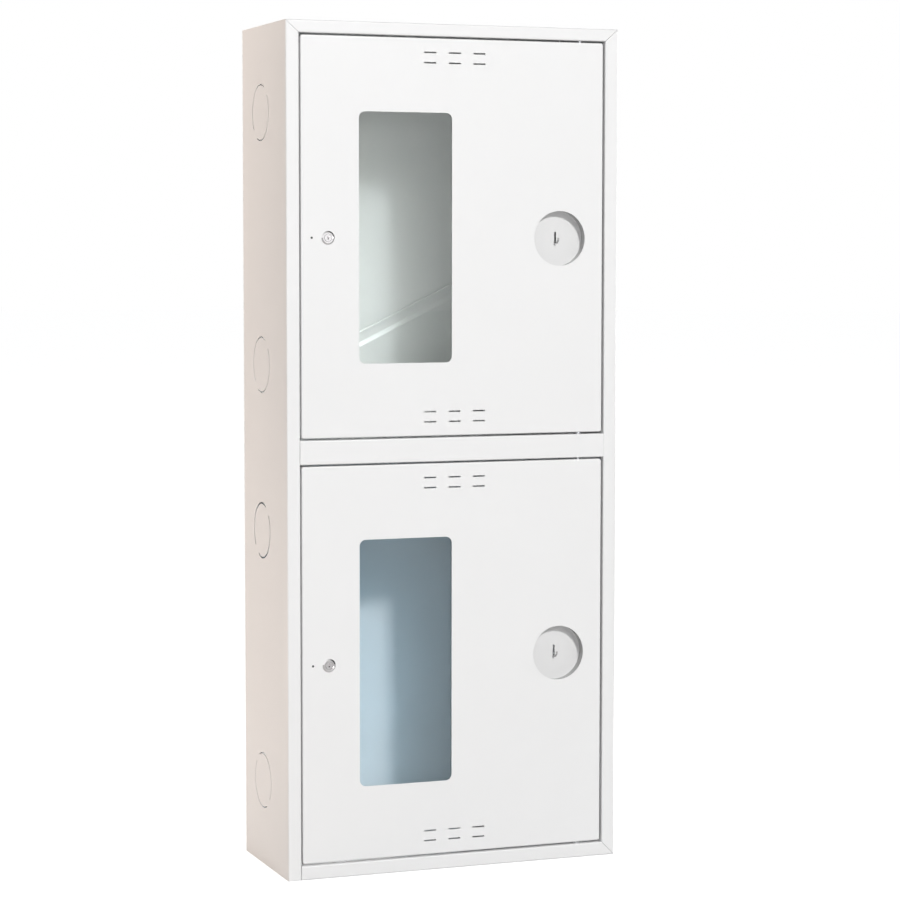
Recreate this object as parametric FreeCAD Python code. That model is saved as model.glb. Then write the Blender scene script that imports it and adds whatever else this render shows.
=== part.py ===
import FreeCAD, Part
import math
import os

# Wall-hung standpipe cabinet: folded sheet-steel casing with two compartments, two hinged and
# glazed doors with cam locks and key niches, and a swing-out hose cassette in the upper one.
# Millimetres. X runs to the right seen from the front, Y to the wall behind, Z up.
# The origin is the middle of the footprint, on the underside.

V = FreeCAD.Vector
X_AXIS, Y_AXIS, Z_AXIS = V(1, 0, 0), V(0, 1, 0), V(0, 0, 1)

# ---- casing -------------------------------------------------------------------------------
width = 540.0
depth = 230.0
height = 1300.0
sheet = 1.0                 # steel of casing and doors
bend = 2.0                  # outside radius of each fold
stile_face = 20.7           # front flange at the sides
top_face = 18.8
bottom_face = 21.2
rail_face = 36.7            # front face of the shelf between the compartments
rail_above_middle = 2.65    # of that face's middle over half the height
lip = 12.0                  # depth of the return behind a front flange
rail_lip = 17.0
rear_flange = 18.0
seam = 0.5                  # open line at a mitre or butt joint
fit_gap = 0.1               # between pieces that are slid together and welded
wall_hole = 10.0
wall_hole_from_side = 60.0
wall_hole_from_end = 80.0

knock_out = 85.0            # diameter of each pipe knock-out
knock_out_slot = 2.0
knock_out_loose_slot = 2.8  # round the one that is pushed in a little
knock_out_bridge = 26.0     # degrees of sheet left at each of the two bridges
bridge_turn = 50.0          # of the bridges' line from the horizontal
knock_out_from_back = 98.0
knock_out_from_end = 132.0  # of the casing
knock_out_from_rail = 128.5

# ---- doors --------------------------------------------------------------------------------
door_gap = 3.0
door_recess = 2.0           # door face behind the casing's front plane
door_return = 15.0          # depth of the pan
door_corner = 3.5
window_width = 150.0
window_height = 380.0
window_corner = 10.0
window_from_edge = 91.7     # from the lock side of the door
pane_thick = 3.0
pane_overlap = 10.0
gasket_wall = 1.0
gasket_lip = 8.0            # of the rubber channel over the pane's rim
vent_width = 20.0
vent_height = 2.3
vent_pitch = 40.0
vent_rows = (21.5, 37.0)    # from the door's top or bottom edge
seal_hole = 3.6             # holds a soft plug that the seal's wire is pushed through
seal_plug_head = 6.0
seal_from_edge = 16.8

clip_width = 16.0
clip_foot = 13.0
clip_finger = 8.0
clip_gap = 0.2
clip_stud_radius = 2.0
clip_stud = 9.0
clip_nut_flats = 7.0
clip_nut = 3.2

niche = 85.0                # diameter of the key niche
niche_from_edge = 72.3      # from the hinge side of the door
niche_depth = 18.0
niche_step = 1.5            # the cup behind is wider than the hole by this all round
niche_rim = 9.0
hook_width = 2.6
hook_slot = 17.0
hook_slot_width = 3.2
hook_above_middle = 1.5
hook_out = 7.0
hook_bend = 5.0
hook_up = 3.0

# ---- hinges -------------------------------------------------------------------------------
hinge_from_edge = 37.8
hinge_behind = 7.0          # hinge axis behind the casing's front plane
pin_radius = 2.5
pin_play = 0.05             # radial clearance of every pin, plug and stud in its hole
pin_head_radius = 4.5
pin_head = 2.0
pin_collar_radius = 4.0
pin_reach = 7.0             # past the door's edge
pin_chamfer = 0.4
hinge_plate = 1.5
hinge_plate_width = 30.0
hinge_plate_leg = 9.0

# ---- locks --------------------------------------------------------------------------------
lock_from_edge = 42.3
barrel_radius = 9.0
barrel_flats = 16.0
lock_flange_rim = 1.3       # of the face round the barrel
lock_bevel = 2.2            # width of the bevelled ring round that face
plug_radius = 6.0
plug_set_back = 0.4
plug_tang = 7.0
key_slot = 1.6
key_height = 5.0
key_depth = 12.0
lock_nut_rim = 2.6
lock_nut = 4.0
cam_thick = 2.0
cam_width = 16.0
cam_taper = 2.0
strip_reach = 30.0          # how far the striker strip stands in from the side wall
strip_thick = 1.2
strip_leg = 15.0
strip_from_door_end = 12.0
strip_overlap = 12.0        # cam tip past the strip's edge when locked
strip_gap = 1.0             # behind the door's returns
cam_gap = 0.5               # between the strip and the cam
cam_washer_radius = 6.5
cam_washer = 1.0
cam_screw_radius = 1.95
cam_screw_head_radius = 4.0
cam_screw_head = 2.6
cam_screw_depth = 5.0       # into the plug

# ---- hose cassette ------------------------------------------------------------------------
pivot_from_wall = 23.0      # pivot axis inside the right wall
pivot_behind_front = 65.0
valve_space = 119.0         # kept free between the left wall and the cassette
cassette_behind = 14.0      # free behind the back plate
trough_depth = 96.0
trough_height = 90.0
trough_hem = 8.0
trough_leg = 15.0
cassette_above_shelf = 14.0
slope = 0.485               # rise of the back plate's top edge towards the hinge
slope_start = 109.6         # height of that edge over the trough's floor at the free end
edge_hem = 3.0
hem_gap = 2.2
joggle = 2.0
joggle_run = 6.5
joggle_below = 15.0
cassette_plate = 2.0
cassette_plate_bend = 3.0
hinge_side_up = 5.0         # lower edge of the hinge plate over the trough's floor
hinge_side = 225.0          # its height
hinge_flange = 26.0
knuckle_radius = 7.0
knuckle = 42.0
knuckle_feet = (37.0, 155.0)    # over the trough's floor
knuckle_relief = 12.0
cassette_pin_radius = 4.0
cassette_pin_head = 3.0
cassette_pin_head_rim = 2.0
cassette_pin_tail = 6.0
cassette_pin_chamfer = 0.6
clip_ring = 1.0             # thickness of the retaining ring
clip_ring_rim = 2.5
clip_ring_seat = 1.0        # depth of its groove
clip_ring_mouth = 4.4
bracket_plate = 3.0
bracket_bend = 4.0
bracket_leg = 30.0
bracket_half = 10.0
rivet_radius = 2.0
rivet_head = 1.2
rivet_head_radius = 4.0
rivet_rows = (0.12, 0.5, 0.88)  # up the hinge plate

# ---- derived places -----------------------------------------------------------------------
right = width / 2
left = -right
front = -depth / 2
back = depth / 2
inner_x = right - sheet
opening_x = right - stile_face
opening_top = height - top_face
opening_bottom = bottom_face
rail_low = height / 2 + rail_above_middle - rail_face / 2
rail_high = rail_low + rail_face
door_front = front + door_recess
door_back = door_front + door_return
skin_back = door_front + sheet
door_half = opening_x - door_gap
window_x = -door_half + window_from_edge + window_width / 2
niche_x = door_half - niche_from_edge
seal_x = -door_half + seal_from_edge
hinge_x = door_half - hinge_from_edge
hinge_y = front + hinge_behind
hinge_hole = pin_radius + pin_play
lock_x = -door_half + lock_from_edge
strip_front = door_back + strip_gap
cam_front = strip_front + strip_thick + cam_gap
cam_back = cam_front + cam_thick
cam_reach = lock_x - (left + sheet + strip_reach) + strip_overlap
pivot_x = inner_x - pivot_from_wall
pivot_y = front + pivot_behind_front
cassette_left = -inner_x + valve_space
cassette_right = pivot_x - knuckle_radius
cassette_rear = back - cassette_behind
cassette_front = cassette_rear - trough_depth
cassette_floor = rail_high + cassette_above_shelf
trough_top = cassette_floor + trough_height
hinge_side_low = cassette_floor + hinge_side_up
hinge_side_high = hinge_side_low + hinge_side
knuckles = [cassette_floor + foot for foot in knuckle_feet]

DOORS = {"upper": (rail_high + door_gap, opening_top - door_gap),
         "lower": (opening_bottom + door_gap, rail_low - door_gap)}


def door_middle(level):
    low, high = DOORS[level]
    return (low + high) / 2


# ---- shape helpers ------------------------------------------------------------------------
def box(x0, x1, y0, y1, z0, z1):
    return Part.makeBox(x1 - x0, y1 - y0, z1 - z0, V(x0, y0, z0))


def rod(radius, start, length, axis=Z_AXIS):
    return Part.makeCylinder(radius, length, V(*start), axis)


def prism(points, run):
    """Solid between a closed outline of 3D points and its copy moved by run."""
    corners = [V(*p) for p in points]
    return Part.Face(Part.makePolygon(corners + corners[:1])).extrude(run)


def rounded_slab(x0, x1, z0, z1, radius, y0, y1):
    """Slab across Y whose four corners, seen from the front, are rounded."""
    slab = box(x0, x1, y0, y1, z0, z1)
    upright = [e for e in slab.Edges if abs(e.tangentAt(e.FirstParameter).y) > 0.99]
    return slab.makeFillet(radius, upright)


def groove_line(points, shift, side, thick, radius):
    """Edges of the line that lies shift inside a folded sheet's skin line, bends rounded."""
    def unit(a, b):
        run = math.hypot(b[0] - a[0], b[1] - a[1])
        return ((b[0] - a[0]) / run, (b[1] - a[1]) / run)

    def moved(p, n):
        return (p[0] + n[0] * shift, p[1] + n[1] * shift)

    edges = []
    start = moved(points[0], [side * k for k in turned(unit(points[0], points[1]))])
    for before, corner, after in zip(points, points[1:], points[2:]):
        d1, d2 = unit(before, corner), unit(corner, after)
        cross = d1[0] * d2[1] - d1[1] * d2[0]
        angle = math.atan2(cross, d1[0] * d2[0] + d1[1] * d2[1])
        hand = 1 if cross > 0 else -1
        inside = hand == side
        skin = radius if inside else radius - thick
        here = skin - shift if inside else skin + shift
        reach = skin * math.tan(abs(angle) / 2)
        first = (corner[0] - d1[0] * reach, corner[1] - d1[1] * reach)
        centre = (first[0] + hand * turned(d1)[0] * skin, first[1] + hand * turned(d1)[1] * skin)
        out = unit(centre, corner)
        a = moved(first, [side * k for k in turned(d1)])
        b = moved((corner[0] + d2[0] * reach, corner[1] + d2[1] * reach),
                  [side * k for k in turned(d2)])
        middle = (centre[0] + out[0] * here, centre[1] + out[1] * here)
        edges.append(("line", start, a))
        edges.append(("arc", a, middle, b))
        start = b
    end = moved(points[-1], [side * k for k in turned(unit(points[-2], points[-1]))])
    edges.append(("line", start, end))
    return edges


def turned(direction):
    """A 2D direction turned a quarter to the left."""
    return (-direction[1], direction[0])


def folded(points, place, run, side=1, thick=sheet, radius=bend):
    """Folded sheet: a skin line through 2D points, the sheet on its left (side 1) or right
    (side -1), every bend rounded, put into space by place(a, b) and extruded along run."""
    skin = groove_line(points, 0.0, side, thick, radius)
    inner = groove_line(points, thick, side, thick, radius)
    loop = skin + [("line", skin[-1][-1], inner[-1][-1])]
    loop += [(kind,) + tuple(reversed(p)) for kind, *p in reversed(inner)]
    loop += [("line", inner[0][1], skin[0][1])]
    edges = []
    for kind, *p in loop:
        ends = [place(*q) for q in p]
        edges.append(Part.LineSegment(*ends).toShape() if kind == "line"
                     else Part.Arc(*ends).toShape())
    return Part.Face(Part.Wire(edges)).extrude(run)


def mirrored(shape):
    return shape.mirror(V(0, 0, 0), X_AXIS)


def hexagon(flats, x, y, z, length):
    """Hexagonal prism along Y."""
    corner = flats / math.sqrt(3)
    angles = [math.radians(60 * k) for k in range(6)]
    points = [(x + corner * math.cos(a), y, z + corner * math.sin(a)) for a in angles]
    return prism(points, V(0, length, 0))


# ---- casing -------------------------------------------------------------------------------
def mitre_cut(corner, inner, above, y0, y1):
    """Wedge that trims a flange along the line from the outer corner to the inner one, kept
    half a seam away. Points are (x, z) on the left side; above trims the upper side of it."""
    along = V(inner[0] - corner[0], 0, inner[1] - corner[1]).normalize()
    normal = V(-along.z, 0, along.x)
    if (normal.z > 0) != above:
        normal = normal * -1
    start = V(corner[0], y0, corner[1]) - along * sheet - normal * (seam / 2)
    end = V(inner[0], y0, inner[1]) + along * 3 * sheet - normal * (seam / 2)
    far = normal * (stile_face + rear_flange)
    return prism([start, end, end + far, start + far], V(0, y1 - y0, 0))


def left_mitres(above, at_top, butt=False):
    """The trims of one end's front and rear flanges, at the casing's left."""
    z = height - sheet if at_top else sheet
    z_front = opening_top if at_top else opening_bottom
    z_rear = height - rear_flange if at_top else rear_flange
    corner = (left + sheet, z)
    cuts = [mitre_cut(corner, (left + rear_flange, z_rear), above, back - rear_flange, back)]
    if not butt:
        cuts.append(mitre_cut(corner, (-opening_x, z_front), above, front, front + lip + sheet))
    return cuts


def knock_out_ring(z, slot=knock_out_slot, turn=bridge_turn):
    """Ring slot in the left wall, interrupted by two bridges."""
    y = back - knock_out_from_back
    start = (left - sheet, y, z)
    ring = rod(knock_out / 2 + slot / 2, start, 3 * sheet, X_AXIS)
    ring = ring.cut(rod(knock_out / 2 - slot / 2, start, 3 * sheet, X_AXIS))
    half = knock_out / 2 * math.radians(knock_out_bridge) / 2
    bar = box(left - sheet, left + 2 * sheet, y - knock_out, y + knock_out, z - half, z + half)
    bar.rotate(V(left, y, z), X_AXIS, -turn)
    return ring.cut(bar)


def knock_out_rings():
    """Near both ends of the side and above and below the rail; the lowest is punched the
    other way round."""
    return [knock_out_ring(height - knock_out_from_end),
            knock_out_ring((rail_low + rail_high) / 2 + knock_out_from_rail),
            knock_out_ring((rail_low + rail_high) / 2 - knock_out_from_rail,
                           slot=knock_out_loose_slot),
            knock_out_ring(knock_out_from_end, turn=180 - bridge_turn)]


def side_blank():
    """Left side with its flanges, full height, before the ends are trimmed."""
    line = [(left + rear_flange, back), (left, back), (left, front), (-opening_x, front),
            (-opening_x, front + lip)]
    return folded(line, lambda a, b: V(a, b, 0), V(0, 0, height))


def side_panel(butt):
    """Left side; with butt its front flange runs down to the underside, and only the return
    behind it stops above the bottom."""
    panel = side_blank()
    cuts = left_mitres(True, True) + left_mitres(False, False, butt)
    cuts += knock_out_rings()
    if butt:
        cuts.append(box(left + sheet, sheet - opening_x, front + sheet, front + lip + sheet,
                        -sheet, sheet + fit_gap))
    return panel.cut(cuts)


def left_side_panel():
    return side_panel(butt=True)


def right_side_panel():
    return mirrored(side_panel(butt=False))


def hinge_pin_hole(z):
    return rod(hinge_hole, (hinge_x, hinge_y, z - 5 * sheet), 10 * sheet)


def top_panel():
    line = [(back, height - rear_flange), (back, height), (front, height), (front, opening_top),
            (front + lip, opening_top)]
    panel = folded(line, lambda a, b: V(-inner_x, a, b), V(2 * inner_x, 0, 0))
    cuts = left_mitres(False, True)
    cuts += [mirrored(c) for c in cuts]
    return panel.cut(cuts + [hinge_pin_hole(opening_top)])


def bottom_panel():
    line = [(back, rear_flange), (back, 0), (front, 0), (front, opening_bottom),
            (front + lip, opening_bottom)]
    panel = folded(line, lambda a, b: V(-inner_x, a, b), V(2 * inner_x, 0, 0), side=-1)
    butt = box(left, -opening_x + seam, front - sheet, front + sheet + fit_gap, -sheet,
               opening_bottom + sheet)
    behind_lip = box(left, -opening_x + seam, front, front + lip + fit_gap, sheet + fit_gap,
                     opening_bottom + sheet)
    corner = box(left, left + bend + fit_gap, front - sheet, front + bend + fit_gap, -sheet,
                 opening_bottom)
    cuts = [mirrored(c) for c in left_mitres(True, False)] + left_mitres(True, False, butt=True)
    return panel.cut(cuts + [butt, behind_lip, corner, hinge_pin_hole(opening_bottom)])


def back_panel():
    half = right - bend - fit_gap
    panel = box(-half, half, back - 2 * sheet, back - sheet, bend + fit_gap,
                height - bend - fit_gap)
    for x in (left + wall_hole_from_side, right - wall_hole_from_side):
        for z in (wall_hole_from_end, height - wall_hole_from_end):
            panel = panel.cut(rod(wall_hole / 2, (x, back - 3 * sheet, z), 3 * sheet, Y_AXIS))
    return panel


def mid_shelf():
    """Channel between the doors whose upper flange is the shelf, with wings to the side walls."""
    rear = back - 2 * sheet
    line = [(front + rail_lip, rail_low), (front, rail_low), (front, rail_high), (rear, rail_high),
            (rear, rail_high - rear_flange)]
    half = opening_x - fit_gap
    shelf = folded(line, lambda a, b: V(-half, a, b), V(2 * half, 0, 0), side=-1)
    wing = folded([(-half + sheet, rail_high), (-inner_x, rail_high),
                   (-inner_x, rail_high - rear_flange)],
                  lambda a, b: V(a, front + lip + sheet, b),
                  V(0, rear - bend - front - lip - sheet, 0), side=1)
    shelf = shelf.fuse([wing, mirrored(wing)]).removeSplitter()
    return shelf.cut([hinge_pin_hole(rail_high), hinge_pin_hole(rail_low)])


def lock_strip(level):
    """Angle on the left wall that the lock's cam turns behind."""
    low, high = DOORS[level]
    foot = low + strip_from_door_end
    x_wall = -inner_x
    line = [(x_wall, strip_front + strip_leg), (x_wall, strip_front),
            (x_wall + strip_reach, strip_front)]
    return folded(line, lambda a, b: V(a, b, foot), V(0, 0, high - strip_from_door_end - foot),
                  thick=strip_thick)


def hinge_pins(level):
    """Lower pin with a collar that carries the door, and a headed upper pin."""
    low, high = DOORS[level]
    foot = low - door_gap
    collar = rod(pin_collar_radius, (hinge_x, hinge_y, foot), door_gap - fit_gap)
    shank = rod(pin_radius, (hinge_x, hinge_y, foot - sheet), sheet + door_gap + pin_reach)
    head = rod(pin_head_radius, (hinge_x, hinge_y, foot - sheet - pin_head), pin_head)
    lower = collar.fuse([shank, head]).removeSplitter()
    seat = high + door_gap + sheet
    upper = rod(pin_radius, (hinge_x, hinge_y, high - pin_reach), seat - high + pin_reach)
    upper = upper.fuse(rod(pin_head_radius, (hinge_x, hinge_y, seat), pin_head)).removeSplitter()
    return Part.makeCompound([soft_rims(lower, pin_chamfer), soft_rims(upper, pin_chamfer)])


def soft_rims(shape, size):
    """Chamfers the two end rims of a turned piece."""
    ends = sorted(shape.Faces, key=lambda f: f.CenterOfMass.z)
    return shape.makeChamfer(size, ends[0].Edges[:1] + ends[-1].Edges[:1])


# ---- doors --------------------------------------------------------------------------------
def door_pan(low, high, inset, radius_front):
    """Block with the door's outline, rounded at its corners and round its front face."""
    block = rounded_slab(-door_half + inset, door_half - inset, low + inset, high - inset,
                         door_corner - inset, door_front + inset, door_back + inset * 2)
    rim = [e for e in block.Edges
           if e.BoundBox.YMax < door_front + inset + 0.01]
    return block.makeFillet(radius_front, rim)


def door_skin(level):
    low, high = DOORS[level]
    middle = door_middle(level)
    skin = door_pan(low, high, 0.0, bend).cut(door_pan(low, high, sheet, bend - sheet))
    y0, y1 = door_front - sheet, skin_back + sheet
    cuts = [rounded_slab(window_x - window_width / 2, window_x + window_width / 2,
                         middle - window_height / 2, middle + window_height / 2,
                         window_corner, y0, y1)]
    for column in (-1, 0, 1):
        for row in vent_rows:
            for z in (low + row, high - row):
                x = column * vent_pitch
                cuts.append(rounded_slab(x - vent_width / 2, x + vent_width / 2,
                                         z - vent_height / 2, z + vent_height / 2,
                                         vent_height / 2 - 0.05, y0, y1))
    cuts.append(rod(niche / 2, (niche_x, y0, middle), y1 - y0, Y_AXIS))
    cuts.append(rod(seal_hole / 2, (seal_x, y0, middle), y1 - y0, Y_AXIS))
    cuts.append(barrel(middle, y0, y1, pin_play))
    cuts += [hinge_pin_hole(low), hinge_pin_hole(high)]
    return skin.cut(cuts)


def window_gasket(level):
    """Rubber channel round the edge of the pane."""
    middle = door_middle(level)
    half_x = window_width / 2 + pane_overlap
    half_z = window_height / 2 + pane_overlap

    def slab(grow, y0, y1):
        return rounded_slab(window_x - half_x - grow, window_x + half_x + grow,
                            middle - half_z - grow, middle + half_z + grow,
                            window_corner + grow, y0, y1)
    y0, y1 = skin_back, skin_back + pane_thick + 2 * gasket_wall
    ring = slab(gasket_wall, y0, y1).cut(slab(-gasket_lip, y0 - 1, y1 + 1))
    return ring.cut(slab(0, y0 + gasket_wall, y1 - gasket_wall))


def window_pane(level):
    middle = door_middle(level)
    half_x = window_width / 2 + pane_overlap - fit_gap
    half_z = window_height / 2 + pane_overlap - fit_gap
    y0 = skin_back + gasket_wall
    return rounded_slab(window_x - half_x, window_x + half_x, middle - half_z, middle + half_z,
                        window_corner, y0, y0 + pane_thick)


def clip_places(level):
    """Where a pane clip starts: (x, z, turn), turn being the way its foot points."""
    middle = door_middle(level)
    side_x = window_width / 2 + pane_overlap + gasket_wall + clip_gap
    side_z = window_height / 2 + pane_overlap + gasket_wall + clip_gap
    near = window_height * 0.3
    return [(window_x - side_x, middle - near, 180), (window_x - side_x, middle + near, 180),
            (window_x + side_x, middle - near, 0), (window_x + side_x, middle + near, 0),
            (window_x, middle - side_z, 270), (window_x, middle + side_z, 90)]


def at_clips(level, shape):
    """Copies of a shape made with its foot to +X at the origin, one at each clip's place."""
    copies = []
    for x, z, turn in clip_places(level):
        copy = shape.copy()
        copy.rotate(V(0, 0, 0), Y_AXIS, -turn)
        copy.translate(V(x, 0, z))
        copies.append(copy)
    return Part.makeCompound(copies)


def pane_clips(level):
    """Z-shaped clips whose fingers hold the gasket against the skin."""
    rise = pane_thick + 2 * gasket_wall
    line = [(clip_foot, skin_back), (0, skin_back), (0, skin_back + rise),
            (-clip_finger, skin_back + rise)]
    clip = folded(line, lambda a, b: V(a, b, -clip_width / 2), V(0, 0, clip_width), side=-1,
                  radius=sheet + clip_gap)
    hole = rod(clip_stud_radius + fit_gap, (clip_foot / 2, skin_back - 1, 0), 4, Y_AXIS)
    return at_clips(level, clip.cut(hole))


def pane_studs(level):
    stud = rod(clip_stud_radius, (clip_foot / 2, skin_back, 0), clip_stud, Y_AXIS)
    rim = [e for e in stud.Edges if e.BoundBox.YMin > skin_back + clip_stud - 0.01]
    return at_clips(level, stud.makeChamfer(0.4, rim))


def pane_nuts(level):
    y0 = skin_back + sheet
    nut = hexagon(clip_nut_flats, clip_foot / 2, y0, 0, clip_nut)
    nut = nut.cut(rod(clip_stud_radius + pin_play, (clip_foot / 2, y0 - 1, 0), clip_nut + 2,
                      Y_AXIS))
    return at_clips(level, nut)


def hinge_brackets(level):
    """Angles under the pan's returns that take the pins' wear."""
    low, high = DOORS[level]
    half = hinge_plate_width / 2
    y0, y1 = skin_back + bend - sheet + fit_gap, door_back
    pieces = []
    for z, up in ((low + sheet, 1), (high - sheet, -1)):
        line = [(y0, z), (y1, z), (y1, z + up * hinge_plate_leg)]
        angle = folded(line, lambda a, b: V(hinge_x - half, a, b), V(2 * half, 0, 0),
                       side=up, thick=hinge_plate, radius=hinge_plate + sheet)
        pieces.append(angle.cut(hinge_pin_hole(z)))
    return Part.makeCompound(pieces)


def key_niche(level):
    """Pressed cup behind the round hole, with a key hook lanced from its floor."""
    middle = door_middle(level)
    floor = door_front + niche_depth
    cup = niche / 2 + niche_step
    shell = rod(cup + sheet, (niche_x, skin_back, middle), floor + sheet - skin_back, Y_AXIS)
    edge = [e for e in shell.Edges if e.BoundBox.YMin > floor + sheet - 0.01]
    shell = shell.makeFillet(bend, edge)
    hollow = rod(cup, (niche_x, skin_back, middle), floor - skin_back, Y_AXIS)
    edge = [e for e in hollow.Edges if e.BoundBox.YMin > floor - 0.01]
    hollow = hollow.makeFillet(bend - sheet, edge)
    rim = rod(cup + niche_rim, (niche_x, skin_back, middle), sheet, Y_AXIS)
    rim = rim.cut(rod(cup, (niche_x, skin_back - 1, middle), 3, Y_AXIS))
    foot = middle + hook_above_middle - hook_slot / 2
    slot = box(niche_x - hook_slot_width / 2, niche_x + hook_slot_width / 2, floor - 1,
               floor + 2 * sheet, foot, foot + hook_slot)
    line = [(floor + sheet, foot - bend - sheet), (floor + sheet, foot), (floor - hook_out, foot),
            (floor - hook_out - hook_bend, foot + hook_bend),
            (floor - hook_out - hook_bend, foot + hook_bend + hook_up)]
    hook = folded(line, lambda a, b: V(niche_x - hook_width / 2, a, b), V(hook_width, 0, 0))
    return shell.cut(hollow).fuse(rim).cut(slot).fuse(hook).removeSplitter()


def seal_plug(level):
    """Soft plug in the seal hole, its head behind the skin."""
    middle = door_middle(level)
    shank = rod(seal_hole / 2, (seal_x, door_front, middle), sheet, Y_AXIS)
    head = rod(seal_plug_head / 2, (seal_x, skin_back, middle), sheet, Y_AXIS)
    rim = [e for e in head.Edges if e.BoundBox.YMin > skin_back + sheet - 0.01]
    return shank.fuse(head.makeFillet(sheet / 2, rim)).removeSplitter()


# ---- locks --------------------------------------------------------------------------------
def barrel(middle, y0, y1, grow):
    """Round barrel with two flats, from y0 to y1, larger by grow all round."""
    body = rod(barrel_radius + grow, (lock_x, y0, middle), y1 - y0, Y_AXIS)
    flats = barrel_flats / 2 + grow
    return body.common(box(lock_x - 2 * flats, lock_x + 2 * flats, y0, y1, middle - flats,
                           middle + flats))


def lock_housing(level):
    middle = door_middle(level)
    outer = barrel_radius + lock_flange_rim
    bevel = door_recess * 0.6
    face = Part.makeCone(outer - lock_bevel, outer, bevel, V(lock_x, front, middle), Y_AXIS)
    flange = rod(outer, (lock_x, front + bevel, middle), door_recess - bevel, Y_AXIS)
    body = face.fuse([flange, barrel(middle, door_front, cam_front - fit_gap, 0)])
    bore = rod(plug_radius + pin_play, (lock_x, front - 1, middle), cam_front - front + 2, Y_AXIS)
    dish = rod((plug_radius + barrel_radius) / 2, (lock_x, front - 1, middle),
               1 + door_recess * 0.4, Y_AXIS)
    return body.cut([bore, dish]).removeSplitter()


def lock_nut_piece(level):
    middle = door_middle(level)
    nut = hexagon(2 * (barrel_radius + lock_nut_rim), lock_x, skin_back, middle, lock_nut)
    return nut.cut(barrel(middle, skin_back - 1, skin_back + lock_nut + 1, fit_gap))


def lock_plug(level):
    """Keyed cylinder with a square tang that carries the cam."""
    middle = door_middle(level)
    face = front + plug_set_back
    plug = rod(plug_radius, (lock_x, face, middle), cam_front - face, Y_AXIS)
    rim = [e for e in plug.Edges if e.BoundBox.YMax < face + 0.01]
    plug = plug.makeChamfer(0.5, rim)
    half = plug_tang / 2
    tang = box(lock_x - half, lock_x + half, cam_front, cam_back, middle - half, middle + half)
    key = box(lock_x - key_slot / 2, lock_x + key_slot / 2, face - 1, face + key_depth,
              middle - key_height / 2, middle + key_height / 2)
    eye = rod(key_slot, (lock_x, face - 1, middle + key_height / 4), 1 + key_depth, Y_AXIS)
    thread = rod(cam_screw_radius + pin_play, (lock_x, cam_front - cam_screw_depth - 1, middle),
                 cam_screw_depth + cam_thick + 2, Y_AXIS)
    return plug.fuse(tang).cut([key, eye, thread]).removeSplitter()


def lock_cam(level):
    """Flat cam, pointing up while the door is unlocked."""
    middle = door_middle(level)
    tip_half = cam_width / 2 - cam_taper
    hub = rod(cam_width / 2, (lock_x, cam_front, middle), cam_thick, Y_AXIS)
    tip_z = middle + cam_reach - tip_half
    tip = rod(tip_half, (lock_x, cam_front, tip_z), cam_thick, Y_AXIS)
    arm = prism([(lock_x - cam_width / 2, cam_front, middle),
                 (lock_x + cam_width / 2, cam_front, middle),
                 (lock_x + tip_half, cam_front, tip_z), (lock_x - tip_half, cam_front, tip_z)],
                V(0, cam_thick, 0))
    half = plug_tang / 2 + pin_play
    hole = box(lock_x - half, lock_x + half, cam_front - 1, cam_back + 1, middle - half,
               middle + half)
    return hub.fuse([tip, arm]).cut(hole).removeSplitter()


def lock_cam_screw(level):
    """Screw with a fixed washer that keeps the cam on the tang."""
    middle = door_middle(level)
    head_front = cam_back + cam_washer
    head_back = head_front + cam_screw_head
    washer = rod(cam_washer_radius, (lock_x, cam_back, middle), cam_washer, Y_AXIS)
    head = rod(cam_screw_head_radius, (lock_x, head_front, middle), cam_screw_head, Y_AXIS)
    rim = [e for e in head.Edges if e.BoundBox.YMin > head_back - 0.01]
    head = head.makeFillet(cam_screw_head * 0.35, rim)
    start = cam_front - cam_screw_depth
    shank = rod(cam_screw_radius, (lock_x, start, middle), cam_back - start, Y_AXIS)
    slot = box(lock_x - cam_screw_head_radius, lock_x + cam_screw_head_radius,
               head_front + cam_screw_head / 2, head_back + 1, middle - 0.5, middle + 0.5)
    return washer.fuse([head, shank]).cut(slot).removeSplitter()


# ---- hose cassette ------------------------------------------------------------------------
def slope_height(x):
    """Height of the back plate's top edge."""
    return cassette_floor + slope_start + slope * (x - cassette_left)


def cassette_back_plate():
    """Back of the trough: its slanted top edge is hemmed to the front, and below it a long
    joggle brings the plate forward."""
    x0, x1 = cassette_left, cassette_right - sheet - fit_gap
    along = V(1, 0, slope).normalize()
    down = V(slope, 0, -1).normalize()
    lead = 2 * (slope_height(x1) - slope_height(x0))
    start = V(x0, 0, slope_height(x0)) - along * lead
    y_low = cassette_rear - sheet
    y_high = y_low + joggle
    line = [(edge_hem, y_high - hem_gap), (0, y_high - hem_gap), (0, y_high),
            (joggle_below, y_high), (joggle_below + joggle_run, y_low), (slope_height(x1), y_low)]
    plate = folded(line, lambda a, b: start + down * a + V(0, b, 0),
                   along * (x1 - x0 + 3 * lead))
    plate = plate.common(box(x0, x1, cassette_front, back, cassette_floor + sheet, height))
    holes = [rod(rivet_radius + pin_play, (x, y_low - 1, z), 3, Y_AXIS) for x, z in rivet_places()]
    return plate.cut(holes)


def cassette_trough():
    """Trough for the folded hose: hemmed front lip, floor, and a rear leg on the back plate."""
    lip_x0, lip_x1 = cassette_left, cassette_right - fit_gap
    line = [(cassette_front + trough_hem, trough_top), (cassette_front, trough_top),
            (cassette_front, cassette_floor), (cassette_rear - sheet, cassette_floor),
            (cassette_rear - sheet, cassette_floor + trough_leg)]
    return folded(line, lambda a, b: V(lip_x0, a, b), V(lip_x1 - lip_x0, 0, 0))


def cassette_end_plate():
    """Closes the trough's free end."""
    x0 = cassette_left - sheet
    end_plate_top = slope_height(cassette_left) - (joggle_below + joggle_run) * math.hypot(1, slope)
    return prism([(x0, cassette_front, cassette_floor), (x0, cassette_rear, cassette_floor),
                  (x0, cassette_rear, end_plate_top - bend),
                  (x0, cassette_front, trough_top)], V(sheet, 0, 0))


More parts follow.
